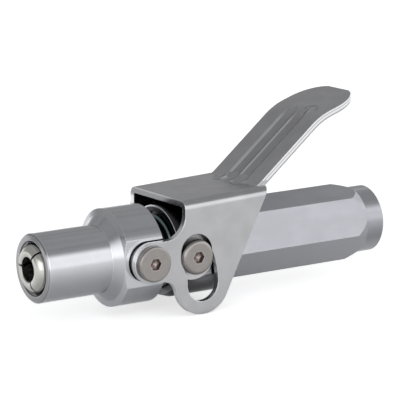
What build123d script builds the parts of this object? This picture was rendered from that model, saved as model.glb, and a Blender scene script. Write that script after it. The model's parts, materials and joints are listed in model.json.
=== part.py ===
# Quick-release grease coupler.
#
# A turned core carries three gripping jaws. A sleeve with a tapered mouth slides over the core
# and squeezes the jaws on to a grease fitting when it is pulled back. A stamped lever swings on
# two pivot screws in the sleeve, and its two cam slots run on the round heads of two cam screws
# in the carrier, so lifting the handle lets the spring push the sleeve forward and free the jaws.
#
# Millimetres. X runs along the axis, with the inlet's rear face at 0 and the nose at -X.
# Z is up, towards the lever's top plate, and the object is drawn with the jaws closed.
import math
import os
from build123d import *

# Lengths along the axis
collar_length = 4.8
inlet_hex_length = 39.3
carrier_length = 15.6
sleeve_gap = 3.9
sleeve_length = 28.7
nose_length = 16.5
jaw_reach = 1.3
jaw_length = 15.2

# Radii and widths of the turned bodies
nose_radius = 8.0
nose_edge = 0.4
sleeve_radius = 11.4
carrier_radius = 11.2
body_flat_width = 20.0
inlet_hex_width = 16.0
inlet_hex_turn = -17.5
collar_radius = 7.96

# Sleeve shoulder, rear edge and bore
shoulder_cone_length = 1.9
shoulder_cone_radius = 10.0
shoulder_step = 0.5
sleeve_rear_edge = 0.35
sleeve_bore_radius = 6.95
mouth_lip = 1.0
mouth_flare = 0.85

# Jaws
jaw_cone_angle = 8.0
jaw_tip_length = 1.9
jaw_tip_radius = 5.5
jaw_body_radius = 6.6
jaw_mouth_radius = 2.9
jaw_crest_radius = 3.6
jaw_lip_depth = 0.15
jaw_lip_length = 1.2
jaw_pocket_radius = 3.4
jaw_pocket_length = 5.25
jaw_chamber_radius = 4.4
jaw_hook_length = 1.75
jaw_slit = 0.5
jaw_slit_turn = 52.0
jaw_count = 3
ring_groove_centre = 10.5
ring_wire_radius = 0.6

# Core tube
core_head_radius = 5.3
core_head_length = 1.5
core_neck_radius = 4.3
core_passage_radius = 1.5
core_ring_setback = 5.0
core_ring_wire_radius = 0.5

# Face seal, plunger and their spring
seal_radius = 4.1
seal_length = 2.3
seal_hole_radius = 1.0
seal_cup_radius = 2.6
seal_cup_depth = 0.5
plunger_flange_radius = 3.9
plunger_flange_length = 1.0
plunger_travel = 0.8
plunger_stem_radius = 3.0
plunger_stem_length = 6.4
plunger_bore_radius = 1.2
plunger_ring_wire_radius = 0.4
seal_spring_wire = 0.6
seal_spring_radius = 2.4
seal_spring_length = 7.9
seal_spring_turns = 6

# Release spring between the sleeve and the carrier
spring_wire = 1.4
spring_radius = 8.05
spring_turns = 2.75
sleeve_recess_depth = 1.1
carrier_recess_depth = 1.4
recess_radius = 9.0
spring_washer_thickness = 0.5

# Carrier's rounded front edge and rear edge
carrier_rim_radius = 10.5
carrier_rim_length = 2.0
carrier_rear_edge = 0.5

# Inlet body
spigot_length = 5.2
gasket_thickness = 0.8
gasket_hole_radius = 3.0
port_thread_radius = 4.3
port_thread_length = 12.0
inlet_passage_radius = 3.0
valve_hole_radius = 1.7
valve_wall = 6.7
hex_turned_length = 3.4
collar_edge = 0.4

# Check valve
ball_radius = 2.38
ball_well_radius = 2.9
ball_well_length = 8.5
check_spring_wire = 0.45
check_spring_radius = 1.9
check_spring_turns = 6

# Screws and washers
pivot_setback = 4.16
cam_setback = 3.61
screw_thread_radius = 2.0
screw_thread_length = 2.9
screw_socket_width = 2.5
screw_socket_depth = 1.6
pivot_shoulder_radius = 2.5
pivot_head_radius = 4.15
pivot_head_height = 1.18
pivot_head_edge = 0.45
cam_head_radius = 4.1
cam_head_height = 2.6
cam_head_edge = 0.9
washer_thickness = 0.6
pivot_washer_radius = 4.45
cam_washer_radius = 5.6

# Lever
sheet = 1.5
lever_side_gap = 0.1
lever_bend_radius = 2.0
lever_inner_bend = 0.5
top_plate_height = 13.3
top_plate_rise = 2.0
lever_front = 2.8
front_curve_radius = 5.3
ear_radius = 4.75
ear_fillet = 3.5
loop_radius = 7.2
rear_edge_top = 1.2
handle_bend_reach = 18.6
handle_angle = 39.1
handle_run = 23.2
tail_angle = 18.5
tail_run = 12.8
handle_bend_radius = 2.5
tail_bend_radius = 16.0
handle_half_width = 9.8
handle_tip_radius = 7.5
flute_depth = 0.65
flute_width = 4.1
flute_spacing = 4.2
flute_start = 1.2
flute_length = 23.0
slot_room = 1.2

# Motion
lever_lift = 26.0
sleeve_travel = 3.0

# Clearances
sliding_gap = 0.04
seat_gap = 0.03
thread_gap = 0.02
cone_gap = 0.08
hook_gap = 0.1
hook_side_gap = 0.125
hook_tilt_gap = 0.15
ring_gap = 0.2
slot_gap = 0.05
pivot_gap = 0.05

# How far a cutting tool reaches past the piece that it cuts
cut_margin = 1.0

# The cam slot's edges are drawn through this many spans, with their slope found over slot_probe
slot_steps = 6
slot_probe = 0.01

# Stations along X that follow from the lengths
collar_front = -collar_length
carrier_rear = collar_front - inlet_hex_length
carrier_front = carrier_rear - carrier_length
sleeve_rear = carrier_front - sleeve_gap
nose_front = sleeve_rear - sleeve_length
shoulder_front = nose_front + nose_length
shoulder_cone_end = shoulder_front + shoulder_cone_length
shoulder_end = shoulder_cone_end + shoulder_step
jaw_front = nose_front - jaw_reach
jaw_rear = jaw_front + jaw_length
jaw_cone_start = jaw_front + jaw_tip_length
core_shoulder = jaw_rear + hook_gap
spigot_front = carrier_rear - spigot_length
core_rear = spigot_front - gasket_thickness
well_floor = core_rear - ball_well_length
sleeve_recess_floor = sleeve_rear - sleeve_recess_depth
carrier_recess_floor = carrier_front + carrier_recess_depth
pivot_x = sleeve_rear - pivot_setback
cam_x = carrier_front + cam_setback
handle_bend_x = cam_x + handle_bend_reach

# Radii and heights that follow
handle_bend_z = top_plate_height + handle_bend_reach * math.tan(math.radians(top_plate_rise))
core_radius = sleeve_bore_radius - sliding_gap
carrier_bore_radius = core_radius + seat_gap
spigot_radius = carrier_bore_radius - seat_gap
flat_half = body_flat_width / 2
cone_slope = math.tan(math.radians(jaw_cone_angle))
lever_inner_half = flat_half + washer_thickness + lever_side_gap
lever_outer_half = lever_inner_half + sheet
jaw_hook_front = jaw_rear - jaw_hook_length
core_head_rear = jaw_hook_front - hook_tilt_gap
core_front = core_head_rear - core_head_length
plunger_flange_rear = core_front - plunger_travel - hook_gap
plunger_flange_front = plunger_flange_rear - plunger_flange_length
seal_front = plunger_flange_front - seal_length
stem_rear = plunger_flange_rear + plunger_stem_length
seal_spring_seat = stem_rear + seal_spring_length
core_counterbore_radius = plunger_stem_radius + sliding_gap


def turned(stations):
    """Solid of revolution about X through (x, radius) stations given from front to rear."""
    first_x = stations[0][0]
    last_x = stations[-1][0]
    outline = Polyline((first_x, 0), *stations, (last_x, 0), close=True)
    return revolve(make_face(outline), Axis.X)


def tube(front, rear, outer_radius, inner_radius):
    """Plain ring or tube about X."""
    return turned([(front, outer_radius), (rear, outer_radius)]) - turned(
        [(front, inner_radius), (rear, inner_radius)]
    )


def side_flats(front, rear, reach):
    """Two blocks that mill the flats on the +Y and -Y sides of a round body."""
    depth = reach - flat_half
    block = Box(rear - front, depth, 2 * reach, align=(Align.MIN, Align.MIN, Align.CENTER))
    return Pos(front, flat_half, 0) * block + Pos(front, -flat_half - depth, 0) * block


def round_ring(centre_x, centre_radius, wire_radius):
    """Ring of round section about X, such as an O-ring."""
    section = Pos(centre_x, centre_radius) * Circle(wire_radius)
    return revolve(section, Axis.X)


def coil_spring(front, rear, coil_radius, wire_diameter, turns):
    """Compression spring about X whose end coils are ground flat."""
    length = rear - front
    path = Helix(length / turns, length, coil_radius, center=(front, 0, 0), direction=(1, 0, 0))
    section = Plane(origin=path @ 0, z_dir=path % 0) * Circle(wire_diameter / 2)
    wire = sweep(section, path=path, is_frenet=True)
    keep = turned([(front, coil_radius + wire_diameter), (rear, coil_radius + wire_diameter)])
    return wire & keep


def lock_sleeve():
    """Nose, shoulder and round rear body in one piece, with the closing taper inside."""
    outside = turned(
        [
            (nose_front, nose_radius - nose_edge),
            (nose_front + nose_edge, nose_radius),
            (shoulder_front, nose_radius),
            (shoulder_cone_end, shoulder_cone_radius),
            (shoulder_end, sleeve_radius),
            (sleeve_rear - sleeve_rear_edge, sleeve_radius),
            (sleeve_rear, sleeve_radius - sleeve_rear_edge),
        ]
    )
    lip_x = nose_front + mouth_lip
    lip_radius = jaw_tip_radius + (lip_x - jaw_cone_start) * cone_slope + cone_gap
    taper_length = (sleeve_bore_radius - lip_radius) / cone_slope
    bore = turned(
        [
            (nose_front, lip_radius + mouth_flare),
            (lip_x, lip_radius),
            (lip_x + taper_length, sleeve_bore_radius),
            (sleeve_recess_floor, sleeve_bore_radius),
            (sleeve_recess_floor, recess_radius),
            (sleeve_rear, recess_radius),
        ]
    )
    body = outside - bore - side_flats(nose_front, sleeve_rear, sleeve_radius + cut_margin)
    for side in (-1, 1):
        body -= tapped_hole(pivot_x, side)
    return body


def jaws():
    """Three jaws cut from one turned collet by parallel slits, listed by their angle."""
    tip_inner = (jaw_front + jaw_lip_depth, jaw_mouth_radius)
    tip_crest = (jaw_front, jaw_crest_radius)
    tip_outer = (jaw_cone_start, jaw_tip_radius)
    bulge = ThreePointArc(tip_inner, tip_crest, tip_outer)
    cone_end = jaw_cone_start + (jaw_body_radius - jaw_tip_radius) / cone_slope
    pocket_front = tip_inner[0] + jaw_lip_length + (jaw_pocket_radius - jaw_mouth_radius)
    pocket_rear = pocket_front + jaw_pocket_length
    chamber_front = pocket_rear + (jaw_chamber_radius - jaw_pocket_radius) / 2
    core_head_clear = core_head_radius + hook_side_gap
    head_room_front = core_front - hook_tilt_gap
    rest = Polyline(
        tip_outer,
        (cone_end, jaw_body_radius),
        (jaw_rear, jaw_body_radius),
        (jaw_rear, jaw_chamber_radius),
        (jaw_hook_front, jaw_chamber_radius),
        (jaw_hook_front, core_head_clear),
        (head_room_front, core_head_clear),
        (head_room_front, jaw_chamber_radius),
        (chamber_front, jaw_chamber_radius),
        (pocket_rear, jaw_pocket_radius),
        (pocket_front, jaw_pocket_radius),
        (tip_inner[0] + jaw_lip_length, jaw_mouth_radius),
        tip_inner,
    )
    collet = revolve(make_face(bulge + rest), Axis.X)
    groove_half = ring_wire_radius + hook_gap
    groove_x = jaw_front + ring_groove_centre
    cut_radius = jaw_body_radius + cut_margin
    collet -= tube(groove_x - groove_half, groove_x + groove_half, cut_radius, ring_groove_floor())
    slit_length = jaw_length + 2 * cut_margin
    slit = Box(slit_length, jaw_slit, cut_radius, align=(Align.CENTER, Align.CENTER, Align.MIN))
    middle = (jaw_front + jaw_rear) / 2
    for index in range(jaw_count):
        turn = jaw_slit_turn + index * 360 / jaw_count
        collet -= Pos(middle, 0, 0) * Rot(90 - turn, 0, 0) * slit
    return sorted(collet.solids(), key=jaw_angle)


def jaw_angle(jaw):
    """Angle of a jaw about the axis, from -Y and rising to +Z, in the order of the slits."""
    centre = jaw.center()
    angle = math.degrees(math.atan2(centre.Z, -centre.Y))
    return (angle - jaw_slit_turn) % 360


def ring_groove_floor():
    """Radius of the floor of the jaws' outer ring groove."""
    return jaw_body_radius - 2 * ring_wire_radius - hook_side_gap


def jaw_ring():
    """Elastic ring that draws the three jaws together."""
    centre_radius = ring_groove_floor() + ring_gap + ring_wire_radius
    return round_ring(jaw_front + ring_groove_centre, centre_radius, ring_wire_radius)


def core():
    """Tube that the sleeve slides on, with a headed nose for the jaw hooks."""
    outside = turned(
        [
            (core_front, core_head_radius),
            (core_head_rear, core_head_radius),
            (core_head_rear, core_neck_radius),
            (core_shoulder, core_neck_radius),
            (core_shoulder, core_radius),
            (core_rear, core_radius),
        ]
    )
    inside = turned(
        [
            (core_front, core_counterbore_radius),
            (seal_spring_seat, core_counterbore_radius),
            (seal_spring_seat, core_passage_radius),
            (well_floor, core_passage_radius),
            (well_floor, ball_well_radius),
            (core_rear, ball_well_radius),
        ]
    )
    groove_half = core_ring_wire_radius + hook_gap
    groove_x = core_shoulder + core_ring_setback
    groove_floor = core_radius - 2 * core_ring_wire_radius - seat_gap
    groove = tube(groove_x - groove_half, groove_x + groove_half, core_radius + cut_margin, groove_floor)
    return outside - inside - groove


def core_ring():
    """O-ring between the core and the sleeve's bore."""
    centre_radius = core_radius - core_ring_wire_radius
    return round_ring(core_shoulder + core_ring_setback, centre_radius, core_ring_wire_radius)


def face_seal():
    """Rubber disc that presses on the grease fitting, cupped at the front."""
    disc = tube(seal_front, plunger_flange_front, seal_radius, seal_hole_radius)
    cup = turned([(seal_front, seal_cup_radius), (seal_front + seal_cup_depth, seal_hole_radius)])
    return disc - cup


def plunger_ring_x():
    """Middle of the plunger's O-ring, half way along the stem."""
    return (plunger_flange_rear + stem_rear) / 2


def seal_plunger():
    """Flanged tube behind the face seal, which slides in the core."""
    outside = turned(
        [
            (plunger_flange_front, plunger_flange_radius),
            (plunger_flange_rear, plunger_flange_radius),
            (plunger_flange_rear, plunger_stem_radius),
            (stem_rear, plunger_stem_radius),
        ]
    )
    bore = turned([(plunger_flange_front, plunger_bore_radius), (stem_rear, plunger_bore_radius)])
    groove_half = plunger_ring_wire_radius + hook_gap
    groove_floor = plunger_stem_radius - 2 * plunger_ring_wire_radius - seat_gap
    groove_x = plunger_ring_x()
    cut_radius = plunger_stem_radius + cut_margin
    groove = tube(groove_x - groove_half, groove_x + groove_half, cut_radius, groove_floor)
    return outside - bore - groove


def plunger_ring():
    """O-ring on the plunger's stem."""
    centre_radius = plunger_stem_radius - plunger_ring_wire_radius
    return round_ring(plunger_ring_x(), centre_radius, plunger_ring_wire_radius)


def carrier_body():
    """Round block with side flats that holds the core, the inlet body and the cam screws."""
    outside = turned(
        [
            (carrier_front, carrier_rim_radius),
            (carrier_front + carrier_rim_length, carrier_radius),
            (carrier_rear - carrier_rear_edge, carrier_radius),
            (carrier_rear, carrier_radius - carrier_rear_edge),
        ]
    )
    bore = turned(
        [
            (carrier_front, recess_radius),
            (carrier_recess_floor, recess_radius),
            (carrier_recess_floor, carrier_bore_radius),
            (carrier_rear, carrier_bore_radius),
        ]
    )
    body = outside - bore - side_flats(carrier_front, carrier_rear, carrier_radius + cut_margin)
    for side in (-1, 1):
        body -= tapped_hole(cam_x, side)
    return body


def inlet_body():
    """Hexagonal grip with a turned collar and a threaded port at the rear."""
    corner_radius = inlet_hex_width / 2 / math.cos(math.radians(30))
    section = Plane.YZ.offset(carrier_rear) * RegularPolygon(corner_radius, 6, rotation=30)
    hexagon = Rot(inlet_hex_turn, 0, 0) * extrude(section, amount=inlet_hex_length)
    envelope = turned(
        [
            (carrier_rear, inlet_hex_width / 2),
            (carrier_rear + (corner_radius - inlet_hex_width / 2) / 2, corner_radius),
            (collar_front - hex_turned_length, corner_radius),
            (collar_front, inlet_hex_width / 2),
        ]
    )
    spigot = turned([(spigot_front, spigot_radius), (carrier_rear, spigot_radius)])
    collar = turned(
        [(collar_front, collar_radius), (-collar_edge, collar_radius), (0, collar_radius - collar_edge)]
    )
    passage = turned(
        [
            (spigot_front, valve_hole_radius),
            (spigot_front + valve_wall, valve_hole_radius),
            (spigot_front + valve_wall, inlet_passage_radius),
            (-port_thread_length, inlet_passage_radius),
            (-port_thread_length, port_thread_radius),
            (0, port_thread_radius),
        ]
    )
    return (hexagon & envelope) + spigot + collar - passage


def ball_centre():
    """Middle of the check ball, resting on the edge of the inlet's valve hole."""
    return spigot_front - math.sqrt(ball_radius**2 - valve_hole_radius**2) - thread_gap


def tapped_hole(x, side):
    """Hole for a screw thread, from the side flat inward."""
    return screw_cylinder(x, side, flat_half - screw_thread_length - thread_gap, flat_half, screw_thread_radius)


def screw_cylinder(x, side, inner, outer, radius):
    """Cylinder along Y at height 0, from inner to outer on one side of the axis."""
    height = outer - inner
    rod = Cylinder(radius, height, align=(Align.CENTER, Align.CENTER, Align.MIN))
    return Pos(x, side * inner, 0) * Rot(-side * 90, 0, 0) * rod


def screw(x, side, seat, head_radius, head_height, head_edge, shoulder_radius):
    """Socket-head screw whose head sits at seat, with a plain shoulder down to the flat."""
    top = seat + head_height
    head = screw_cylinder(x, side, seat, top, head_radius)
    rim = head.edges().filter_by(GeomType.CIRCLE).sort_by(Axis.Y)[0 if side < 0 else -1]
    head = fillet(rim, head_edge)
    shank = screw_cylinder(x, side, flat_half, seat, shoulder_radius)
    thread_radius = screw_thread_radius - thread_gap
    thread = screw_cylinder(x, side, flat_half - screw_thread_length, flat_half, thread_radius)
    socket_corner = screw_socket_width / 2 / math.cos(math.radians(30))
    key = extrude(RegularPolygon(socket_corner, 6), amount=screw_socket_depth)
    socket = Pos(x, side * (top - screw_socket_depth), 0) * Rot(-side * 90, 0, 0) * key
    return head + shank + thread - socket


def pivot_screw(side):
    """Shouldered screw that the lever's ear turns on."""
    seat = lever_outer_half + pivot_gap
    return screw(
        pivot_x, side, seat, pivot_head_radius, pivot_head_height, pivot_head_edge, pivot_shoulder_radius
    )


def cam_screw(side):
    """Screw whose tall round head guides the lever's slot."""
    seat = flat_half + washer_thickness
    shank_radius = screw_thread_radius - thread_gap
    return screw(cam_x, side, seat, cam_head_radius, cam_head_height, cam_head_edge, shank_radius)


def washer(x, side, outer_radius, hole_radius):
    """Flat washer on a side flat."""
    disc = screw_cylinder(x, side, flat_half, flat_half + washer_thickness, outer_radius)
    return disc - screw_cylinder(x, side, flat_half, flat_half + washer_thickness, hole_radius)


def cam_point(lift):
    """Cam screw's place in the lever's own frame, from the pivot, when the lever is lifted."""
    reach = cam_x - pivot_x + sleeve_travel * lift / lever_lift
    angle = math.radians(lift)
    return reach * math.cos(angle), -reach * math.sin(angle)


def slot_edge_point(lift, side):
    """Point on one edge of the cam slot, beside the cam screw's place at this lift."""
    half_width = cam_head_radius + slot_gap
    x, z = cam_point(lift)
    ahead_x, ahead_z = cam_point(lift + slot_probe)
    behind_x, behind_z = cam_point(lift - slot_probe)
    run = math.hypot(ahead_x - behind_x, ahead_z - behind_z)
    across_x = (behind_z - ahead_z) / run
    across_z = (ahead_x - behind_x) / run
    return pivot_x + x + side * half_width * across_x, z + side * half_width * across_z


def cam_slot():
    """Curved slot that the cam screw's head sweeps, with free room above its resting place."""
    half_width = cam_head_radius + slot_gap
    lifts = [lever_lift * step / slot_steps for step in range(slot_steps + 1)]
    inner = [slot_edge_point(lift, -1) for lift in lifts]
    outer = [slot_edge_point(lift, 1) for lift in lifts]
    rest_x = cam_x - pivot_x
    low_x, low_z = cam_point(lever_lift)
    low_angle = math.radians(lever_lift)
    low_end = (
        pivot_x + low_x - half_width * math.sin(low_angle),
        low_z - half_width * math.cos(low_angle),
    )
    swept = make_face(
        [
            Spline(*outer),
            ThreePointArc(outer[-1], low_end, inner[-1]),
            Spline(*inner),
            ThreePointArc(inner[0], (pivot_x + rest_x, half_width), outer[0]),
        ]
    )
    room = SlotCenterToCenter(slot_room, 2 * half_width)
    return swept + Pos(pivot_x + rest_x, slot_room / 2) * Rot(0, 0, 90) * room


def lever_side_outline():
    """Side plate seen along Y: ear, front curve, cam loop and sloping rear edge."""
    front_x = cam_x - lever_front
    high = 2 * top_plate_height
    curve_x = front_x - front_curve_radius
    curve_z = ear_radius + front_curve_radius
    loop_x, loop_z = pivot_x + cam_point(lever_lift)[0], cam_point(lever_lift)[1]
    fillet_drop = -loop_z - ear_radius - ear_fillet
    fillet_x = loop_x - math.sqrt((loop_radius + ear_fillet) ** 2 - fillet_drop**2)
    fillet_z = -ear_radius - ear_fillet
    touch = ear_fillet / (loop_radius + ear_fillet)
    touch_x = fillet_x + (loop_x - fillet_x) * touch
    touch_z = fillet_z + (loop_z - fillet_z) * touch
    rear_x = handle_bend_x + rear_edge_top
    rear_angle = math.atan2(top_plate_height - loop_z, rear_x - loop_x)
    swing = rear_angle + math.asin(loop_radius / math.hypot(top_plate_height - loop_z, rear_x - loop_x))
    tangent_angle = swing - math.pi / 2
    tangent_x = loop_x + loop_radius * math.cos(tangent_angle)
    tangent_z = loop_z + loop_radius * math.sin(tangent_angle)
    reach = high - tangent_z
    outline = [
        Line((front_x, high), (front_x, curve_z)),
        ThreePointArc(
            (front_x, curve_z),
            (curve_x + front_curve_radius * math.sqrt(0.5), curve_z - front_curve_radius * math.sqrt(0.5)),
            (curve_x, ear_radius),
        ),
        Line((curve_x, ear_radius), (pivot_x, ear_radius)),
        ThreePointArc((pivot_x, ear_radius), (pivot_x - ear_radius, 0), (pivot_x, -ear_radius)),
        Line((pivot_x, -ear_radius), (fillet_x, -ear_radius)),
        ThreePointArc(
            (fillet_x, -ear_radius),
            arc_middle((fillet_x, fillet_z), (fillet_x, -ear_radius), (touch_x, touch_z)),
            (touch_x, touch_z),
        ),
        ThreePointArc((touch_x, touch_z), (loop_x, loop_z - loop_radius), (tangent_x, tangent_z)),
        Line((tangent_x, tangent_z), (tangent_x + reach / math.tan(swing), high)),
        Line((tangent_x + reach / math.tan(swing), high), (front_x, high)),
    ]
    hole = Pos(pivot_x, 0) * Circle(pivot_shoulder_radius + pivot_gap)
    return make_face(outline) - cam_slot() - hole


def arc_middle(centre, start, end):
    """Middle point of the shorter arc about centre from start to end."""
    middle_x = (start[0] + end[0]) / 2 - centre[0]
    middle_z = (start[1] + end[1]) / 2 - centre[1]
    radius = math.hypot(start[0] - centre[0], start[1] - centre[1])
    scale = radius / math.hypot(middle_x, middle_z)
    return centre[0] + middle_x * scale, centre[1] + middle_z * scale


def handle_point(run, rise=0.0):
    """Point on the straight part of the handle: run from the bend, rise square to the sheet."""
    angle = math.radians(handle_angle)
    x = handle_bend_x + run * math.cos(angle) - rise * math.sin(angle)
    z = handle_bend_z + run * math.sin(angle) + rise * math.cos(angle)
    return x, z


def handle_strip():
    """Handle swept along its side view, then cut to its plan outline with a round tip."""
    knee = handle_point(handle_run)
    tail = math.radians(tail_angle)
    tip = (knee[0] + tail_run * math.cos(tail), knee[1] + tail_run * math.sin(tail))
    rise = math.radians(top_plate_rise)
    root_run = handle_bend_radius / 2
    root = (handle_bend_x - root_run * math.cos(rise), handle_bend_z - root_run * math.sin(rise))
    side_view = FilletPolyline(
        root,
        (handle_bend_x, handle_bend_z),
        knee,
        tip,
        radius=[handle_bend_radius + sheet / 2, tail_bend_radius],
    )
    path = Plane.XZ * side_view
    section_plane = Plane(origin=path @ 0, x_dir=(0, 1, 0), z_dir=path % 0)
    section = section_plane * Rectangle(2 * handle_half_width, sheet)
    strip = sweep(section, path=path)
    strip = Pos(0, 0, -sheet / 2) * strip
    plan = handle_plan(root[0] - sheet, tip[0])
    return strip & extrude(plan, amount=tip[1] + sheet)


def handle_plan(root_x, tip_x):
    """Plan outline of the handle, with large round corners at its tip."""
    plan = Pos(root_x, 0) * Rectangle(
        tip_x - root_x, 2 * handle_half_width, align=(Align.MIN, Align.CENTER)
    )
    return fillet(plan.vertices().sort_by(Axis.X)[-2:], handle_tip_radius)


def flute_tool(y, sink):
    """Long round-ended roller that presses a flute of flute_depth, sunk by sink into the sheet."""
    radius = ((flute_width / 2) ** 2 + flute_depth**2) / (2 * flute_depth)
    start = handle_point(flute_start, radius - flute_depth - sink)
    end = handle_point(flute_start + flute_length, radius - flute_depth - sink)
    length = math.hypot(end[0] - start[0], end[1] - start[1])
    roller = Cylinder(radius, length, align=(Align.CENTER, Align.CENTER, Align.MIN))
    roller = roller + Sphere(radius) + Pos(0, 0, length) * Sphere(radius)
    return Pos(start[0], y, start[1]) * Rot(0, 90 - handle_angle, 0) * roller


def lever():
    """One stamped sheet: channel with side plates, and the fluted handle."""
    drop = top_plate_height + loop_radius + lever_outer_half
    reach = lever_outer_half + handle_bend_reach
    outer = Rectangle(2 * lever_outer_half, drop, align=(Align.CENTER, Align.MAX))
    outer = fillet(outer.vertices().sort_by(Axis.Y)[-2:], lever_bend_radius)
    inner = Pos(0, -sheet) * Rectangle(2 * lever_inner_half, drop, align=(Align.CENTER, Align.MAX))
    inner = fillet(inner.vertices().sort_by(Axis.Y)[-2:], lever_inner_bend)
    channel = extrude(Plane.YZ * (outer - inner), amount=reach, both=True)
    channel = Pos(cam_x, 0, top_plate_height) * Rot(0, -top_plate_rise, 0) * channel
    plates = extrude(Plane.XZ * lever_side_outline(), amount=lever_outer_half + cut_margin, both=True)
    blank = (channel & plates) + handle_strip()
    middle = handle_point(handle_run / 2, -sheet / 2)
    straight = handle_run - 2 * tail_bend_radius * math.tan(math.radians(handle_angle - tail_angle) / 2)
    below = Box(straight, 2 * lever_outer_half, 3 * sheet, align=(Align.CENTER, Align.CENTER, Align.MAX))
    below = Pos(middle[0], 0, middle[1]) * Rot(0, -handle_angle, 0) * below
    for side in (-1, 1):
        y = side * flute_spacing / 2
        blank += flute_tool(y, sheet) & below
        blank -= flute_tool(y, 0)
    return blank


os.makedirs("parts", exist_ok=True)

pieces = {
    "lock_sleeve": lock_sleeve(),
    "jaw_ring": jaw_ring(),
    "core_tube": core(),
    "core_o_ring": core_ring(),
    "face_seal": face_seal(),
    "seal_plunger": seal_plunger(),
    "plunger_o_ring": plunger_ring(),
    "seal_spring": coil_spring(
        stem_rear, seal_spring_seat, seal_spring_radius, seal_spring_wire, seal_spring_turns
    ),
    "release_spring": coil_spring(
        sleeve_recess_floor,
        carrier_recess_floor - spring_washer_thickness,
        spring_radius,
        spring_wire,
        spring_turns,
    ),
    "spring_washer": tube(
        carrier_recess_floor - spring_washer_thickness,
        carrier_recess_floor,
        recess_radius - hook_gap,
        core_radius + seat_gap,
    ),
    "carrier_body": carrier_body(),
    "inlet_body": inlet_body(),
    "seat_gasket": tube(core_rear, spigot_front, spigot_radius, gasket_hole_radius),
    "check_ball": Pos(ball_centre(), 0, 0) * Sphere(ball_radius),
    "check_spring": coil_spring(
        well_floor, ball_centre() - ball_radius, check_spring_radius, check_spring_wire, check_spring_turns
    ),
    "lever": lever(),
}
for number, jaw in enumerate(jaws(), start=1):
    pieces[f"jaw_{number}"] = jaw
for side, name in ((-1, "near"), (1, "far")):
    pieces[f"pivot_screw_{name}"] = pivot_screw(side)
    pieces[f"cam_screw_{name}"] = cam_screw(side)
    pieces[f"pivot_washer_{name}"] = washer(
        pivot_x, side, pivot_washer_radius, pivot_shoulder_radius + pivot_gap
    )
    pieces[f"cam_washer_{name}"] = washer(cam_x, side, cam_washer_radius, screw_thread_radius + pivot_gap)

for name, piece in pieces.items():
    export_step(piece, f"parts/{name}.step")
    print(name, round(piece.volume, 2))
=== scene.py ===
# %% [markdown]
# # Dressing a grease coupler
# A grease coupler grips the nipple of a bearing. Its solids come from a CAD model, which is
# loaded here and never changed. Blender adds what the CAD leaves out: the finish of every
# metal, the softened edges of the stamped lever, the pipe thread and the coiled wire.

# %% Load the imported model
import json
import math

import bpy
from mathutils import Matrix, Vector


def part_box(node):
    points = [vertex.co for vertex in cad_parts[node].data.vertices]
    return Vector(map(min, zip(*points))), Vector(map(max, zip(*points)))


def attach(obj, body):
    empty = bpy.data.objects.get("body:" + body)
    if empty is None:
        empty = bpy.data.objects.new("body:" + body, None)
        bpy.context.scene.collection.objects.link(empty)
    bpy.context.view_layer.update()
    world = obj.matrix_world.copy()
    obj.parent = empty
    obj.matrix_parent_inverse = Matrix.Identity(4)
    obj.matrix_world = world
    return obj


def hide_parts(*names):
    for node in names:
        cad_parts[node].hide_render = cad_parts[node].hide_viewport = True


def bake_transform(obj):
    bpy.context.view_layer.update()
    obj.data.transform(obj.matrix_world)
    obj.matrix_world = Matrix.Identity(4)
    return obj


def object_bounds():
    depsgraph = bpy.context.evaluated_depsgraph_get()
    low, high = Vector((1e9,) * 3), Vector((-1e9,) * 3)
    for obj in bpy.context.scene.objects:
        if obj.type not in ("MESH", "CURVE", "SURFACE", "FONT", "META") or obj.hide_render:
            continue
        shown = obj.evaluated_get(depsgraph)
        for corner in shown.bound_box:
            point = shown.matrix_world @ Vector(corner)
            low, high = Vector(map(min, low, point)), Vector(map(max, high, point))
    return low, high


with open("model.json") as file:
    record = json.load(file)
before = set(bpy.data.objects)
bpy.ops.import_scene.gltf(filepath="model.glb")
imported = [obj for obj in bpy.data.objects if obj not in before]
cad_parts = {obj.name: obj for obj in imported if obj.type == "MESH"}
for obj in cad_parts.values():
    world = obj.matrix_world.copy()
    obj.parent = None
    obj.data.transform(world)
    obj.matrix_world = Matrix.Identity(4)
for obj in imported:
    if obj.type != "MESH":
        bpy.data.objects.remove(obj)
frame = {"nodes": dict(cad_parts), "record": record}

# %% [markdown]
# ## The size
# The CAD model stands in the frame that every new piece is made in, in metres. Its box is kept
# here, before anything is added, and the floor is laid at its bottom.
# The finishes below are easier to think about in millimetres, so one is given a name.

MM = 0.001
nodes = frame["nodes"]
cad_low, cad_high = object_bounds()
print("pieces from the CAD model:", len(nodes))
print("size in mm:", [round((high - low) / MM, 1) for low, high in zip(cad_low, cad_high)])

# %% [markdown]
# ## The camera
# A product picture is taken from well back with a long lens, so that the hexagon's edges stay
# nearly parallel. The camera is placed by the direction it looks in, its distance and a small
# roll, because those three numbers are what a photographer would change.

# %% Place the camera
look_direction = Vector((0.52097, 0.82961, -0.20085)).normalized()
look_at = Vector((-47.32, 0.0, 10.21)) * MM
camera_distance = 618.02 * MM
camera_roll = math.radians(-1.07)
lens_mm = 238.34
far_limit = 50

level_right = look_direction.cross(Vector((0, 0, 1))).normalized()
level_up = level_right.cross(look_direction)
camera_right = math.cos(camera_roll) * level_right + math.sin(camera_roll) * level_up
camera_up = math.cos(camera_roll) * level_up - math.sin(camera_roll) * level_right

bpy.ops.object.camera_add()
camera = bpy.context.object
camera.data.lens = lens_mm
turn = Matrix((camera_right, camera_up, -look_direction)).transposed().to_4x4()
camera.matrix_world = Matrix.Translation(look_at - camera_distance * look_direction) @ turn
camera.data.clip_end = far_limit
bpy.context.scene.camera = camera
bpy.context.scene.view_settings.view_transform = "Standard"
print("camera is", round(camera_distance / MM), "mm from the coupler")

# %% [markdown]
# ## A node helper
# Every finish below is a small tree of shader nodes. Writing each node in one line, with its
# settings and inputs together, keeps the trees short enough to read.


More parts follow.
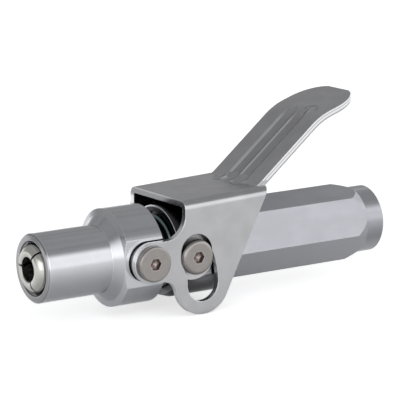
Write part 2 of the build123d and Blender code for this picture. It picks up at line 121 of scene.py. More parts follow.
# %% Define the node helper
def node(tree, kind, links=None, **settings):
    """Adds a shader node, sets its properties, and fills its inputs with values or sockets."""
    made = tree.nodes.new(kind)
    for name, value in settings.items():
        setattr(made, name, value)
    for name, value in (links or {}).items():
        if isinstance(value, bpy.types.NodeSocket):
            tree.links.new(value, made.inputs[name])
        else:
            made.inputs[name].default_value = value
    return made


def math_node(tree, operation, first, second=0.0, third=0.0):
    """One sum, as a node."""
    numbers = {0: first, 1: second, 2: third}
    return node(tree, "ShaderNodeMath", numbers, operation=operation).outputs[0]


def smooth_step(tree, value, start, end):
    """0 below start, 1 above end and smooth in between; start may be above end."""
    ranged = node(
        tree,
        "ShaderNodeMapRange",
        {"Value": value, "From Min": start, "From Max": end},
        interpolation_type="SMOOTHSTEP",
    )
    return ranged.outputs["Result"]


print("node helpers ready")

# %% [markdown]
# ## The light
# Bare metal shows its surroundings more than itself, so the light is designed as a set to be
# reflected: a wide soft box in front, brightest about 20 degrees up and gone above 42, a
# smaller one on the left for the shoulder, one on the right for the back, a low strip behind
# for the flutes, and a dim ceiling with soft slats, which turns the top faces grey and gives
# them faint streaks. Lamps would do too, but a world painted by direction is softer, and each
# box can be moved by changing one number.

# %% Read the direction of a ray
world = bpy.data.worlds.new("studio")
bpy.context.scene.world = world
world.use_nodes = True
tree = world.node_tree
direction = node(tree, "ShaderNodeTexCoord").outputs["Generated"]
axes = node(tree, "ShaderNodeSeparateXYZ", {0: direction})
height = axes.outputs["Z"]
flat = node(tree, "ShaderNodeCombineXYZ", {"X": axes.outputs["X"], "Y": axes.outputs["Y"]})
heading = node(
    tree, "ShaderNodeVectorMath", {0: flat.outputs[0]}, operation="NORMALIZE"
).outputs[0]
print("world:", world.name)

# %% Paint the soft boxes
side_fade = 14  # degrees on each side of a box's edge
soft_boxes = {
    # strength, degrees round from the front, half width, heights to fade in and to fade out
    "front": (1.10, 10, 78, (-0.32, 0.16), (0.72, 0.50)),
    "left": (0.70, -66, 30, (-0.10, 0.15), (0.62, 0.36)),
    "right": (0.80, 108, 22, (0.0, 0.10), (0.66, 0.56)),
    "back strip": (0.60, 170, 16, (-0.06, -0.02), (0.14, 0.08)),
}


def soft_box(strength, bearing, half_width, fade_in, fade_out):
    """Light from one box, by its bearing in degrees and by the heights between which it fades."""
    aim = math.radians(bearing)
    along = node(
        tree,
        "ShaderNodeVectorMath",
        {0: heading, 1: (math.sin(aim), -math.cos(aim), 0)},
        operation="DOT_PRODUCT",
    ).outputs["Value"]
    edge = math.cos(math.radians(half_width + side_fade))
    inside = math.cos(math.radians(half_width - side_fade))
    across = smooth_step(tree, along, edge, inside)
    risen = smooth_step(tree, height, *fade_in)
    under = smooth_step(tree, height, *fade_out)
    shape = math_node(tree, "MULTIPLY", across, math_node(tree, "MULTIPLY", risen, under))
    return math_node(tree, "MULTIPLY", shape, strength)


lights = [soft_box(*numbers) for numbers in soft_boxes.values()]
print("soft boxes:", ", ".join(soft_boxes))

# %% Hang the ceiling and show white to the camera
ceiling = 0.38
between_slats = 0.85
slat_strength = 0.30
slat_scale = 9.0
studio_white = (0.985, 0.99, 1.0, 1)

slats = node(
    tree,
    "ShaderNodeTexNoise",
    {"W": height, "Scale": slat_scale, "Detail": 2.0},
    noise_dimensions="1D",
).outputs[0]
total = math_node(tree, "MULTIPLY", smooth_step(tree, slats, 0.25, 0.75), slat_strength)
total = math_node(tree, "MULTIPLY", math_node(tree, "ADD", total, between_slats), ceiling)
for light in lights:
    total = math_node(tree, "ADD", light, total)
seen = node(tree, "ShaderNodeLightPath").outputs["Is Camera Ray"]
strength = node(tree, "ShaderNodeMix", {"Factor": seen, "A": total, "B": 1.0})
background = tree.nodes["Background"]
background.inputs["Color"].default_value = studio_white
tree.links.new(strength.outputs["Result"], background.inputs["Strength"])
print("soft boxes:", len(lights), "over a ceiling of", ceiling)

# %% [markdown]
# ## The floor
# The coupler stands on a large pale disc. A share of its brightness is light of its own, which
# lifts it to white for the camera. The metal sees less of that share the more steeply it looks
# down, as over a glossy table, so the undersides stay grey and the sides are bright.

# %% Lay the floor
floor_gap = 0.02 * MM
floor_radius = 4.0

bpy.ops.object.select_all(action="DESELECT")
bpy.ops.mesh.primitive_circle_add(
    vertices=64, radius=floor_radius, fill_type="NGON", location=(0, 0, cad_low.z - floor_gap)
)
floor = bpy.context.object
floor.name = "floor"
print("floor at", round(floor.location.z / MM, 2), "mm")

# %% Paint the floor
floor_lift = 0.62
sheen = 0.60
sheen_falloff = 1.6
floor_colour = (0.80, 0.80, 0.80, 1)

floor_paint = bpy.data.materials.new("pale floor")
floor_paint.use_nodes = True
tree = floor_paint.node_tree
rays = node(tree, "ShaderNodeLightPath").outputs
mirrored = math_node(tree, "MAXIMUM", rays["Is Glossy Ray"], rays["Is Transmission Ray"])
grazing = node(tree, "ShaderNodeLayerWeight", {"Blend": 0.5}).outputs["Facing"]
shine = math_node(tree, "MULTIPLY", math_node(tree, "POWER", grazing, sheen_falloff), sheen)
in_metal = math_node(tree, "MULTIPLY", mirrored, shine)
in_camera = math_node(tree, "MULTIPLY", rays["Is Camera Ray"], floor_lift)
paint = tree.nodes["Principled BSDF"]
paint.inputs["Base Color"].default_value = floor_colour
paint.inputs["Roughness"].default_value = 0.9
paint.inputs["Specular IOR Level"].default_value = 0.1
paint.inputs["Emission Color"].default_value = (1, 1, 1, 1)
tree.links.new(math_node(tree, "ADD", in_metal, in_camera), paint.inputs["Emission Strength"])
floor.data.materials.append(floor_paint)
print("floor lifted by", floor_lift)

# %% [markdown]
# ## Patterns
# A real finish is never one flat tone: plating is cloudy, turned steel has rings and sheet has
# long streaks. All of these are noise that is stretched in one way or another. The noise is read
# in the piece's own millimetres, so it keeps its true size and moves with the piece.


# %% Define the patterns
def object_mm(tree, scale=(1, 1, 1)):
    """Object coordinates in millimetres, stretched by scale."""
    place = node(tree, "ShaderNodeTexCoord").outputs["Object"]
    mapping = node(tree, "ShaderNodeMapping", {"Vector": place, "Scale": [s / MM for s in scale]})
    return mapping.outputs["Vector"]


def object_axes(tree):
    """Object coordinates in millimetres, as three values, and the distance from the X axis."""
    parts = node(tree, "ShaderNodeSeparateXYZ", {0: object_mm(tree)}).outputs
    across = math_node(tree, "POWER", parts["Y"], 2.0)
    upward = math_node(tree, "POWER", parts["Z"], 2.0)
    radius = math_node(tree, "SQRT", math_node(tree, "ADD", across, upward))
    return parts["X"], parts["Y"], parts["Z"], radius


def noise(tree, vector, size, detail):
    """Soft random value around 0.5, with blobs about size millimetres across."""
    made = node(
        tree, "ShaderNodeTexNoise", {"Vector": vector, "Scale": 1.0 / size, "Detail": detail}
    )
    return made.outputs[0]


def rings(tree, distance, pitch):
    """Random value that changes with distance alone, in steps about pitch millimetres wide."""
    made = node(
        tree,
        "ShaderNodeTexNoise",
        {"W": distance, "Scale": 1.0 / pitch, "Detail": 3.0},
        noise_dimensions="1D",
    )
    return made.outputs[0]


print("patterns ready")

# %% [markdown]
# ## Masks
# A mask is a value that is 1 where a finish belongs and 0 elsewhere. A painted image could do
# the same, but a mask made from the place and the direction of the surface stays sharp at any
# distance and needs no unwrapping.


# %% Define the masks
def both(tree, first, *others):
    """The product of masks: 1 only where all of them are 1."""
    for other in others:
        first = math_node(tree, "MULTIPLY", first, other)
    return first


def largest(tree, first, *others):
    """The largest of several masks."""
    for other in others:
        first = math_node(tree, "MAXIMUM", first, other)
    return first


def band(tree, value, low, high, fade):
    """1 where value is between low and high, fading over a short distance."""
    risen = smooth_step(tree, value, low - fade, low + fade)
    under = smooth_step(tree, value, high + fade, high - fade)
    return math_node(tree, "MULTIPLY", risen, under)


def facing(tree, axis):
    """How squarely the surface faces along a world axis, from 0 to 1."""
    normal = node(tree, "ShaderNodeNewGeometry").outputs["True Normal"]
    parts = node(tree, "ShaderNodeSeparateXYZ", {0: normal})
    return math_node(tree, "ABSOLUTE", parts.outputs[axis])


def distance_to(tree, axes, centre):
    """Distance in millimetres from a centre, measured along two axes and not along the third."""
    legs = [
        math_node(tree, "POWER", math_node(tree, "SUBTRACT", axis, place), 2.0)
        for axis, place in zip(axes, centre)
    ]
    return math_node(tree, "SQRT", math_node(tree, "ADD", *legs))


print("masks ready")

# %% [markdown]
# ## Metal finishes
# All the metals share one recipe: a mirror-like reflection, a roughness that wanders a little,
# painted shade, with grease, that darkens the recesses, and a very low bump that carries the marks
# of the machine that made the piece. Only the pattern of those marks changes: rings where a lathe
# turned it, long lines where a sheet was rolled, and fine grain where parts were tumbled.


# %% Start a bare metal
def blended(tree, factor, first, second):
    """Colour that goes from first to second as factor goes from 0 to 1."""
    mixed = node(tree, "ShaderNodeMix", {"Factor": factor}, data_type="RGBA")
    for socket, colour in ((mixed.inputs["A"], first), (mixed.inputs["B"], second)):
        if isinstance(colour, bpy.types.NodeSocket):
            tree.links.new(colour, socket)
        else:
            socket.default_value = (*colour, 1)
    return mixed.outputs["Result"]


def metal(name, metallic=1.0, edge=0.12):
    """A bare material with edges softened by edge millimetres, and what its finish builds on."""
    material = bpy.data.materials.new(name)
    material.use_nodes = True
    tree = material.node_tree
    surface = tree.nodes["Principled BSDF"]
    surface.inputs["Metallic"].default_value = metallic
    soft_edge = node(tree, "ShaderNodeBevel", {"Radius": edge * MM}, samples=4)
    return material, tree, surface, soft_edge.outputs["Normal"]


print("bare metal ready")

# %% Press marks into it
usual_noise = (0.3, 0.7)  # the values that most of a noise lies between


def relief(tree, height, depth, normal):
    """The normal of a surface that height raises by up to depth millimetres."""
    bump = node(
        tree, "ShaderNodeBump", {"Height": height, "Distance": depth * MM, "Normal": normal}
    )
    return bump.outputs["Normal"]


def marks(tree, surface, normal, height, depth, roughness, spread):
    """Presses a pattern into the surface, depth in millimetres, and lets roughness follow it."""
    tree.links.new(relief(tree, height, depth, normal), surface.inputs["Normal"])
    low, high = usual_noise
    ranged = node(
        tree,
        "ShaderNodeMapRange",
        {
            "Value": height,
            "From Min": low,
            "From Max": high,
            "To Min": roughness - spread,
            "To Max": roughness + spread,
        },
    )
    tree.links.new(ranged.outputs["Result"], surface.inputs["Roughness"])


print("marks ready")

# %% Brighten its edges and paint shade into its recesses
edge_turn = (0.995, 0.90)  # cosines of the turn at which an edge begins and is fully brightened
hollow_light = (0.12, 0.55)  # shares of open sky at which a recess is fully shaded and is unshaded
# colour of the painted shade in recesses, which stands for grease as well
grease_and_shade = (0.02, 0.02, 0.022)
usual_reach = 4.0
underside = (0.0, -2.0)  # heights over which a turned piece's lower half begins


# The edges found here are painted brighter by the finishes below: wear, and a painted highlight.
def edge_mask(tree, softened):
    """1 on the edges, where the softened normal leaves the face's own, and 0 on the faces."""
    flat_normal = node(tree, "ShaderNodeNewGeometry").outputs["True Normal"]
    along = node(
        tree, "ShaderNodeVectorMath", {0: softened, 1: flat_normal}, operation="DOT_PRODUCT"
    ).outputs["Value"]
    return smooth_step(tree, along, *edge_turn)


def grime_and_shade(tree, surface, unshaded, reach=usual_reach):
    """Fills the base colour, darkening it in recesses narrower than reach millimetres, as painted
    shade and as dirt.
    """
    hollow = node(tree, "ShaderNodeAmbientOcclusion", {"Distance": reach * MM}, samples=6)
    clear = smooth_step(tree, hollow.outputs["AO"], *hollow_light)
    tree.links.new(blended(tree, clear, grease_and_shade, unshaded), surface.inputs["Base Color"])


print("wear and grime ready, reaching", usual_reach, "mm")

# %% [markdown]
# ## Turned steel
# The core tube and the washer behind the release spring are turned and left bare. A lathe leaves
# rings that are the same all round, so the pattern follows the distance along the axis plus the
# distance from it. That draws the rings on the cylinders as well as on the end faces.


# %% Finish the turned steel
def ring_noise(tree, pitch):
    """Random value that is the same all round each turned ring, pitch millimetres apart."""
    along, _, _, radius = object_axes(tree)
    return rings(tree, math_node(tree, "ADD", along, radius), pitch)


def clouds(tree, colour, other, size=5.0, detail=4.0):
    """Two near shades of one colour in soft patches, size millimetres across."""
    return blended(tree, noise(tree, object_mm(tree), size, detail), colour, other)


def turned_metal(name, colour, other, roughness, pitch, depth):
    """Metal with the faint rings that a lathe leaves around the X axis."""
    material, tree, surface, normal = metal(name)
    marks(tree, surface, normal, ring_noise(tree, pitch), depth, roughness, 0.03)
    grime_and_shade(tree, surface, clouds(tree, colour, other))
    return material


ground_steel = turned_metal(
    "ground_steel", (0.42, 0.42, 0.43), (0.48, 0.48, 0.48), 0.30, 0.3, 0.0004
)
print("turned finish:", ground_steel.name)

# %% [markdown]
# ## The sleeve's chrome
# The sleeve is turned, polished and plated, and its end is faced. The end's ring round the jaws
# is painted darker, as painted shade. A truly flat ring would mirror one single tone, while the
# real one is very slightly domed and its tone changes round the mouth. The dome is a bump that
# falls with the radius, because it is far too low to be worth a change of shape. The edges are
# painted brighter, as wear and painted highlight.

# %% Finish the sleeve
nose_radius = 8.0
end_slope = 0.22
end_depths = (0.30, 0.18)  # mm from the end, over which the end face's painted shade begins
edge_wear_and_highlight = 0.8
bright_edge_chrome = (0.88, 0.88, 0.90)
nose_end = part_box("lock_sleeve")[0].x / MM


def sleeve_chrome(name, colour, other, faced):
    """Polished chrome with the lathe's rings, its end face painted darker as shade and its edges
    painted brighter.
    """
    material, tree, surface, normal = metal(name, edge=0.2)
    along, _, _, radius = object_axes(tree)
    at_end = smooth_step(tree, along, *[nose_end + depth for depth in end_depths])
    fallen = math_node(tree, "SUBTRACT", nose_radius, radius)
    domed = relief(tree, both(tree, fallen, at_end), end_slope, normal)
    marks(tree, surface, domed, ring_noise(tree, 0.6), 0.0002, 0.14, 0.03)
    plated = clouds(tree, colour, other)
    # the edges are painted brighter, as wear and painted highlight, and the end face darker, as
    # painted shade
    brightened = math_node(tree, "MULTIPLY", edge_mask(tree, normal), edge_wear_and_highlight)
    end_shaded = blended(tree, at_end, plated, faced)
    grime_and_shade(tree, surface, blended(tree, brightened, end_shaded, bright_edge_chrome))
    return material


# the last colour is the end face's painted shade
polished_chrome = sleeve_chrome(
    "polished_chrome", (0.52, 0.53, 0.56), (0.59, 0.595, 0.61), (0.35, 0.35, 0.36)
)
print("chrome dulls at x =", round(nose_end, 1), "mm")

# %% [markdown]
# ## The carrier's chrome
# The carrier sits half under the lever. Its chrome is painted darker than the sleeve's, and the
# top of its front darker still, both as painted shade, and its front rim is painted as one bright
# line, a painted highlight. The dark could be left to the light alone, but painted into the
# colour it stays when the lever is lifted.

# %% Finish the carrier
carrier_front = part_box("carrier_body")[0].x / MM
carrier_rim_radius = 10.5
channel_depths = (7.0, 3.0)  # mm behind the front, over which the channel's painted shade begins
channel_heights = (0.5, 3.0)
lip_depths = (0.20, 0.10)
lip_widths = (0.40, 0.30)


def shaded_chrome(name, bright, shaded_base, shade):
    """Chrome painted darker as shade, with a painted highlight round its front rim and painted
    shade above it, in the channel.
    """
    material, tree, surface, normal = metal(name)
    marks(tree, surface, normal, ring_noise(tree, 0.4), 0.0003, 0.20, 0.04)
    along, _, upward, radius = object_axes(tree)
    near_front = smooth_step(tree, along, *[carrier_front + depth for depth in channel_depths])
    in_channel = both(tree, smooth_step(tree, upward, *channel_heights), near_front)
    at_front = smooth_step(tree, along, *[carrier_front + depth for depth in lip_depths])
    rim = smooth_step(tree, radius, *[carrier_rim_radius - width for width in lip_widths])
    # the front rim's bright line is a painted highlight; the darker chrome and the dark channel
    # are painted shade
    lip = both(tree, at_front, largest(tree, rim, smooth_step(tree, upward, *underside)))
    covered = blended(tree, in_channel, shaded_base, shade)
    grime_and_shade(tree, surface, blended(tree, lip, covered, bright), reach=9.0)
    return material


# first colour: the rim's painted highlight; second and third: painted shade
carrier_chrome = shaded_chrome(
    "carrier_chrome", (0.80, 0.81, 0.82), (0.34, 0.34, 0.36), (0.06, 0.06, 0.065)
)
print("carrier shaded behind x =", round(carrier_front, 1), "mm")

# %% [markdown]
# ## The stamped lever
# The lever is cut and pressed from rolled sheet. Its colour carries the long streaks of the
# rolling mill, and painted light: the rims where the sheet was sheared are bright, as bare metal
# and painted highlight, with two dark lines along the handle's rim painted as reflections; the
# ridges along the flutes are lighter, as wear and painted highlight; each flute's end has a
# painted glint and a fold painted dark; the grooves and the top plate's front are painted shade.
# Each is a mask by place, listed in millimetres first, so that a mark can be moved without
# reading the nodes.

# %% List the places on the lever
# heights, between which one finish gives way to another
handle_start = (14.9, 15.1)
flute_tops = (28.5, 26.0)
plate_tops = (11.2, 10.8)
front_heights = (11.3, 11.6)
# distances from the lever's middle
plate_sides = (10.7, 10.8)
outer_ridge = (3.7, 4.3)
middle_ridge = (-1.0, 0.45)
groove = (0.5, 3.8)
# where the flutes end: two places at the bend and one near the tip
flute_ends = ((-37.9, 4.1), (-37.9, -3.8), (-18.9, -3.2))
bend_ends = 2
# lines along the handle's edge and the top plate's edge: a point, and the slope in degrees
handle_lines = ((-37.5, 14.12, 39.1), (-19.5, 28.62, 18.5))
top_line = (-37.5, 13.95, 2.0)


def below_line(tree, along, upward, x, z, slope):
    """Millimetres below a sloping line through x and z, seen from the side."""
    angle = math.radians(slope)
    run = math_node(tree, "MULTIPLY", math_node(tree, "SUBTRACT", along, x), math.sin(angle))
    rise = math_node(tree, "MULTIPLY", math_node(tree, "SUBTRACT", upward, z), math.cos(angle))
    return math_node(tree, "SUBTRACT", run, rise)


print("flutes end at", flute_ends)


# %% Mask the sheared rims
def handle_rims(tree, along, upward):
    """The rim of the handle that the shears cut, painted bright, and two darker lines along it,
    painted reflections.
    """
    above = smooth_step(tree, upward, *handle_start)
    rim = both(tree, smooth_step(tree, facing(tree, "Y"), 0.6, 0.75), above)
    depths = [below_line(tree, along, upward, *line) for line in handle_lines]
    depth = math_node(tree, "SMOOTH_MIN", *depths, 1.5)
    upper = band(tree, depth, 0.42, 0.55, 0.08)
    lower = band(tree, depth, 1.10, 1.30, 0.08)
    return rim, both(tree, rim, largest(tree, upper, lower))


def plate_rims(tree, along, upward, off_axis):
    """The rim of the side plates that the shears cut, painted bright, and the lower part of the
    top plate's front, painted dark as shade.
    """
    painted_light = both(
        tree,
        smooth_step(tree, facing(tree, "Y"), 0.6, 0.4),
        smooth_step(tree, off_axis, *plate_sides),
        smooth_step(tree, upward, *plate_tops),
    )
    front = both(
        tree,
        smooth_step(tree, facing(tree, "X"), 0.8, 0.9),
        smooth_step(tree, upward, *front_heights),
        smooth_step(tree, below_line(tree, along, upward, *top_line), 0.25, 0.45),
    )
    return painted_light, front


print("rims ready")


# %% Mask the flutes
def flute_masks(tree, upward, off_axis):
    """The ridges beside the flutes, which are painted lighter as wear and highlight, and the
    grooves between them, which are painted darker as shade.
    """
    on_handle = smooth_step(tree, upward, *handle_start)
    fluted = both(tree, on_handle, smooth_step(tree, upward, *flute_tops))
    outer = band(tree, off_axis, *outer_ridge, 0.2)
    middle = band(tree, off_axis, *middle_ridge, 0.2)
    ridges = both(tree, largest(tree, outer, middle), fluted)
    return ridges, both(tree, band(tree, off_axis, *groove, 0.5), fluted)


def flute_end_masks(tree, along, across):
    """The glint at each flute's end, a bump painted bright as highlight, and the fold round it and
    the dent near the tip, both painted dark as shade.
    """
    ends = [distance_to(tree, (along, across), place) for place in flute_ends]
    glints = largest(tree, *[smooth_step(tree, end, 1.1, 0.1) for end in ends])
    bend = flute_ends[0][0]
    over_bend = smooth_step(tree, along, bend + 0.5, bend - 1.0)
    folds = largest(tree, *[band(tree, end, 2.6, 2.8, 0.45) for end in ends[:bend_ends]])
    fold = both(tree, folds, over_bend, smooth_step(tree, facing(tree, "Z"), 0.7, 0.9))
    past_tip = smooth_step(tree, along, -18.6, -17.9)
    dent = both(tree, band(tree, ends[-1], 2.2, 2.5, 0.4), past_tip)
    return glints, math_node(tree, "MAXIMUM", fold, dent)


print("flutes ready")

# %% Finish the lever
rolled_streaks = (0.25, 3.0, 0.25)
fold_depth = 0.22
glint_height = 1.4
ridge_wear_and_highlight = 0.75
groove_shade = 0.35
shade_share = 0.5
shaded_sheet = (0.12, 0.12, 0.13)
rim_line_grey = (0.30, 0.30, 0.32)


def streaks(tree, stretch):
    """Long fine lines, as rolled sheet or drawn bar has."""
    return noise(tree, object_mm(tree, scale=stretch), 1.0, 5.0)


def stamped_steel(name, colour, other, painted_light):
    """Rolled sheet with pressed flutes and folds where they run out, painted highlights on its
    rims, ridges, glints and edges, and painted shade in its grooves and folds.
    """
    material, tree, surface, normal = metal(name, edge=0.3)
    along, across, upward, _ = object_axes(tree)
    off_axis = math_node(tree, "ABSOLUTE", across)
    handle_rim, rim_lines = handle_rims(tree, along, upward)
    plate_rim, front_rim = plate_rims(tree, along, upward, off_axis)
    ridges, grooves = flute_masks(tree, upward, off_axis)
    glints, fold = flute_end_masks(tree, along, across)

    raised = math_node(tree, "SUBTRACT", math_node(tree, "MULTIPLY", glints, glint_height), fold)
    pressed = relief(tree, raised, fold_depth, normal)
    marks(tree, surface, pressed, streaks(tree, rolled_streaks), 0.00025, 0.22, 0.05)

    # the rims, ridges, glints and edges are painted bright: painted highlight, with bare metal on
    # the rims and wear on the ridges and edges
    rims = math_node(tree, "MAXIMUM", handle_rim, plate_rim)
    lightened = math_node(tree, "MULTIPLY", ridges, ridge_wear_and_highlight)
    light = largest(tree, rims, lightened, glints, edge_mask(tree, normal))
    # the grooves, the folds and the top plate's front are painted dark: painted shade
    shade = largest(tree, math_node(tree, "MULTIPLY", grooves, groove_shade), fold, front_rim)
    mottling = smooth_step(tree, noise(tree, object_mm(tree), 4.5, 4.0), 0.32, 0.68)
    face = blended(tree, mottling, colour, other)
    shaded_face = blended(tree, math_node(tree, "MULTIPLY", shade, shade_share), face, shaded_sheet)
    highlighted = blended(tree, light, shaded_face, painted_light)
    # the two lines along the handle's rim are painted reflections of a dark ceiling
    grime_and_shade(tree, surface, blended(tree, rim_lines, highlighted, rim_line_grey))
    return material


# the last colour is the painted highlight on the rims, ridges, glints and edges
satin_stamped_steel = stamped_steel(
    "satin_stamped_steel", (0.465, 0.465, 0.48), (0.51, 0.51, 0.52), (0.86, 0.86, 0.87)
)
print("sheet finish:", satin_stamped_steel.name)

# %% [markdown]
# ## The hexagon bar
# The inlet body is cut from drawn hexagon bar, so its flats have fine lines along them, while the
# collar at its rear is turned and has rings. Both are one piece and one plating, so one finish
# changes its pattern where the collar starts. The facets facing down and the collar's top and
# underside are painted lighter, as painted light.

# %% Finish the bar
collar_front = -4.8
collar_fade = 0.1
drawn_streaks = (0.12, 2.0, 2.0)


def plated_bar(name, colour, other, brightened):
    """Drawn bar on the flats, and turned rings on the collar, right of its front."""
    material, tree, surface, normal = metal(name)
    along, _, upward, _ = object_axes(tree)
    on_collar = smooth_step(tree, along, collar_front - collar_fade, collar_front + collar_fade)
    lines = streaks(tree, drawn_streaks)
    pattern = node(
        tree, "ShaderNodeMix", {"Factor": on_collar, "A": lines, "B": ring_noise(tree, 0.25)}
    ).outputs["Result"]
    marks(tree, surface, normal, pattern, 0.00025, 0.22, 0.04)
    patches = noise(tree, object_mm(tree, scale=(0.5, 1, 1)), 6.0, 5.0)
    plating = blended(tree, smooth_step(tree, patches, 0.35, 0.65), colour, other)
    # the facets facing down and the collar's top and underside are painted lighter: painted light
    turned_away = smooth_step(tree, facing(tree, "Z"), 0.35, 0.65)
    below = smooth_step(tree, upward, *underside)
    lightened = both(tree, turned_away, math_node(tree, "MAXIMUM", below, on_collar))
    grime_and_shade(tree, surface, blended(tree, lightened, plating, brightened))
    return material


# the last colour is the painted light
satin_plated_steel = plated_bar(
    "satin_plated_steel", (0.355, 0.355, 0.38), (0.385, 0.39, 0.415), (0.50, 0.505, 0.53)
)
print("bar finish:", satin_plated_steel.name, "with rings from x =", collar_front, "mm")

# %% [markdown]
# ## The screw heads
# Each screw is turned about its own axis, so its rings lie round that axis, which runs across the
# coupler. The sockets are pressed in. Their mouths and walls are painted bright, as painted
# highlight, and their bottoms dark brown, as painted shade. All of it is measured from the
# screws' axes.

# %% Find the screws' axes
screw_places = [
    tuple((sum(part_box(name), Vector()) / (2 * MM)).xz)
    for name in ("pivot_screw_near", "cam_screw_near")
]
print("screws faced at", [round(place[0], 1) for place in screw_places], "mm")

# %% Finish the screws
ring_pitch = 1.0 / 3.0
socket_radius = 1.2
socket_slope = 0.7
socket_edges = (1.5, 1.4)
socket_mouth = (1.3, 1.5)
mouth_highlight = 0.6
bright_share = 0.7
socket_highlight = (0.80, 0.79, 0.78)
socket_shade = (0.34, 0.27, 0.25)


def screw_metal(name, colour, other):
    """Warm grey steel with rings round each screw's axis, a painted highlight round the socket and
    on its walls, and painted shade at its bottom.
    """
    material, tree, surface, normal = metal(name, edge=0.25)
    along, _, upward, _ = object_axes(tree)
    reaches = [distance_to(tree, (along, upward), place) for place in screw_places]
    reach = math_node(tree, "MINIMUM", *reaches)
    cupped = math_node(tree, "MINIMUM", reach, socket_radius)
    hollow = relief(tree, cupped, socket_slope, normal)
    marks(tree, surface, hollow, rings(tree, reach, ring_pitch), 0.002, 0.28, 0.05)
    on_face = smooth_step(tree, facing(tree, "Y"), 0.9, 0.97)
    at_socket = smooth_step(tree, reach, *socket_edges)
    # the socket's walls and mouth are painted bright, as painted highlight, and its bottom dark,
    # as painted shade
    walls = both(tree, at_socket, smooth_step(tree, on_face, 0.6, 0.4))
    bottom = both(tree, at_socket, on_face)
    mouth = both(tree, band(tree, reach, *socket_mouth, 0.1), on_face)
    edges = largest(tree, mouth, edge_mask(tree, normal))
    bright = math_node(tree, "MAXIMUM", walls, math_node(tree, "MULTIPLY", edges, mouth_highlight))
    tarnish = clouds(tree, colour, other, 1.6, 3.0)
    share = math_node(tree, "MULTIPLY", bright, bright_share)
    brightened = blended(tree, share, tarnish, socket_highlight)
    grime_and_shade(tree, surface, blended(tree, bottom, brightened, socket_shade), reach=0.8)
    return material


# the painted highlight and painted shade of the sockets are socket_highlight and socket_shade
# above
screw_steel = screw_metal("screw_steel", (0.29, 0.275, 0.265), (0.36, 0.34, 0.325))
print("screw finish:", screw_steel.name)

# %% [markdown]
# ## Tumbled parts
# The washers, the jaws, the springs, the check ball and the brass plunger are tumbled in a drum
# with stones, which rounds their edges and leaves a fine even grain. One finish serves them all,
# and only its colour, grain and gloss change: the jaws are warm from hardening, the springs are
# dark and the ball is almost a mirror.

# %% Finish the tumbled parts
tumbled_spread = 0.04
tumbled_wear_and_highlight = 0.6
tumbled_edge = (0.75, 0.74, 0.73)


def tumbled_metal(name, colour, other, roughness, grain, depth, reach=usual_reach):
    """Metal with a fine even grain, as small parts have after tumbling."""
    material, tree, surface, normal = metal(name)
    pattern = noise(tree, object_mm(tree), grain, 3.0)
    marks(tree, surface, normal, pattern, depth, roughness, tumbled_spread)
    shade = clouds(tree, colour, other, 2.5, 3.0)
    # the edges are painted brighter, as wear and painted highlight
    brightened = math_node(tree, "MULTIPLY", edge_mask(tree, normal), tumbled_wear_and_highlight)
    grime_and_shade(tree, surface, blended(tree, brightened, shade, tumbled_edge), reach)
    return material


washer_steel = tumbled_metal(
    "washer_steel", (0.52, 0.52, 0.53), (0.57, 0.57, 0.57), 0.22, 0.4, 0.0002
)
hardened_steel = tumbled_metal(
    "hardened_steel", (0.60, 0.60, 0.56), (0.66, 0.655, 0.62), 0.22, 0.6, 0.0003, reach=1.2
)
spring_steel = tumbled_metal(
    "spring_steel", (0.14, 0.20, 0.21), (0.24, 0.30, 0.31), 0.16, 0.5, 0.0002
)
ball_steel = tumbled_metal(
    "ball_steel", (0.56, 0.56, 0.57), (0.58, 0.58, 0.59), 0.08, 2.0, 0.0001
)
brass = tumbled_metal("brass", (0.62, 0.44, 0.18), (0.70, 0.52, 0.24), 0.28, 0.4, 0.0004)
print("tumbled finishes:", washer_steel.name, hardened_steel.name, spring_steel.name)

# %% [markdown]
# ## Rubber and fibre
# The seals are black nitrile rubber and the gasket is pressed red fibre. Neither is a metal, so
# the same recipe is used with its metallic part at nothing, a lower shine and a coarser grain.

# %% Finish the seals and the gasket
soft_shine = 0.4
soft_spread = 0.08


def soft_material(name, colour, other, roughness, grain, depth):
    """Matt material with a fine grain, for the seals and the gasket."""
    material, tree, surface, normal = metal(name, metallic=0.0)
    surface.inputs["Specular IOR Level"].default_value = soft_shine
    speckle = noise(tree, object_mm(tree), grain, 4.0)
    marks(tree, surface, normal, speckle, depth, roughness, soft_spread)
    grime_and_shade(tree, surface, blended(tree, speckle, colour, other))
    return material


black_rubber = soft_material(
    "black_rubber", (0.03, 0.03, 0.03), (0.06, 0.06, 0.055), 0.55, 0.3, 0.004
)
gasket_fibre = soft_material(
    "gasket_fibre", (0.30, 0.07, 0.04), (0.42, 0.12, 0.07), 0.8, 0.2, 0.006
)
print("soft finishes:", black_rubber.name, gasket_fibre.name)

# %% [markdown]
# ## The coiled pieces
# The three springs and the pipe thread are made the way they are made in the workshop, by taking
# one small section round the axis: a circle for the wire of a spring and a triangle for the
# ridge of the thread. The Screw modifier does that in one step, and a bisect then grinds the
# ends flat. A curve with a bevel would coil too, but its section tilts with the pitch, and a
# thread's section is drawn in a plane through the axis.


# %% Sweep a section round the axis
def coil(name, sides, section_radius, coil_radius, start, pitch, turns, steps):
    """A section swept round the X axis by the Screw modifier, from start along +X."""
    bpy.ops.object.select_all(action="DESELECT")
    bpy.ops.mesh.primitive_circle_add(
        vertices=sides,
        radius=section_radius,
        location=(start, 0, coil_radius),
        rotation=(math.pi / 2, 0, 0),
    )
    piece = bpy.context.object
    piece.name = name
    bpy.ops.object.transform_apply(location=True, rotation=True, scale=True)
    screw = piece.modifiers.new("sweep", "SCREW")
    screw.axis = "X"
    screw.angle = 2 * math.pi * turns
    screw.screw_offset = pitch * turns
    screw.steps = steps
    screw.render_steps = steps
    screw.use_merge_vertices = False
    bpy.ops.object.modifier_apply(modifier=screw.name)
    return piece


print("sweep ready")


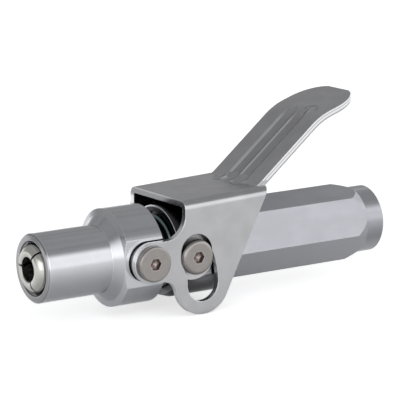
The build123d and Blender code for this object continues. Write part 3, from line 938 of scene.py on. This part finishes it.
# %% Grind an end flat
def cut_flat(x, keep_above):
    """Grinds the active piece flat at x, keeps what is above or below, and closes the cut."""
    bpy.ops.object.mode_set(mode="EDIT")
    bpy.ops.mesh.select_all(action="SELECT")
    bpy.ops.mesh.bisect(
        plane_co=(x, 0, 0),
        plane_no=(1, 0, 0),
        use_fill=True,
        clear_inner=keep_above,
        clear_outer=not keep_above,
    )
    bpy.ops.mesh.select_all(action="SELECT")
    bpy.ops.mesh.normals_make_consistent(inside=False)
    bpy.ops.object.mode_set(mode="OBJECT")


print("grinding ready")

# %% [markdown]
# ## The three springs
# A spring is held by two bodies at once. Each one is wound here as a real wire, with its end
# coils ground flat.

# %% Wind the springs
springs = {
    # CAD node: wire diameter in mm, turns, body at the front end, body at the rear end
    "release_spring": (1.4, 2.75, "sleeve", "body"),
    "seal_spring": (0.6, 6, "seal", "body"),
    "check_spring": (0.45, 6, "body", "check_ball"),
}
wire_sides = 20
steps_per_turn = 48
smooth_below = math.radians(40)

for spring_node, (wire, turns, front_body, rear_body) in springs.items():
    low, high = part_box(spring_node)
    wire_radius = wire * MM / 2
    spring = coil(
        spring_node + "_wire",
        wire_sides,
        wire_radius,
        high.z - wire_radius,
        low.x,
        (high.x - low.x) / turns,
        turns,
        int(turns * steps_per_turn),
    )
    cut_flat(low.x, keep_above=True)
    cut_flat(high.x, keep_above=False)
    bpy.ops.object.shade_smooth_by_angle(angle=smooth_below)
    spring.data.materials.append(spring_steel)
    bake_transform(spring)
    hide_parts(spring_node)
    print(spring.name, len(spring.data.polygons), "faces")

# %% [markdown]
# ## The pipe thread
# The inlet port takes a threaded hose end. Its ridge is one three-sided section swept round the
# axis and cut flat at the mouth and at the bottom of the thread. The section's flat side is the
# crest, which faces the axis, and its point is sunk in the port's wall, so no gap shows under it.

# %% Run the pipe thread into the port
thread_pitch = 0.94 * MM
thread_length = 11.0 * MM
thread_mouth = 0.15 * MM
thread_steps = 400
port_radius = 4.3 * MM
ridge_radius = 0.42 * MM
ridge_inset = 0.08 * MM
pipe_thread = coil(
    "inlet_pipe_thread",
    3,
    ridge_radius,
    port_radius - ridge_inset,
    -thread_length - thread_pitch,
    thread_pitch,
    (thread_length + thread_pitch) / thread_pitch,
    thread_steps,
)
cut_flat(-thread_length, keep_above=True)
cut_flat(-thread_mouth, keep_above=False)
pipe_thread.data.materials.append(satin_plated_steel)
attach(pipe_thread, "body")
print("thread:", len(pipe_thread.data.polygons), "faces")

# %% [markdown]
# ## Dress the CAD pieces
# A CAD piece whose shape is already right only needs its finish, so each node's material slot
# is filled with the finish that the record names for it. The carrier is chromed like the sleeve
# in the record, and gets its own shaded chrome here.

# %% Fill the material slots
finishes = {
    "polished_chrome": polished_chrome,
    "satin_plated_steel": satin_plated_steel,
    "satin_stamped_steel": satin_stamped_steel,
    "ground_steel": ground_steel,
    "hardened_steel": hardened_steel,
    "screw_steel": screw_steel,
    "washer_steel": washer_steel,
    "spring_steel": spring_steel,
    "ball_steel": ball_steel,
    "brass": brass,
    "black_rubber": black_rubber,
    "gasket_fibre": gasket_fibre,
}
for part in frame["record"]["subparts"]:
    piece = nodes[part["node"]]
    piece.data.materials.clear()
    piece.data.materials.append(finishes[part["material_slot"]])
nodes["carrier_body"].data.materials[0] = carrier_chrome
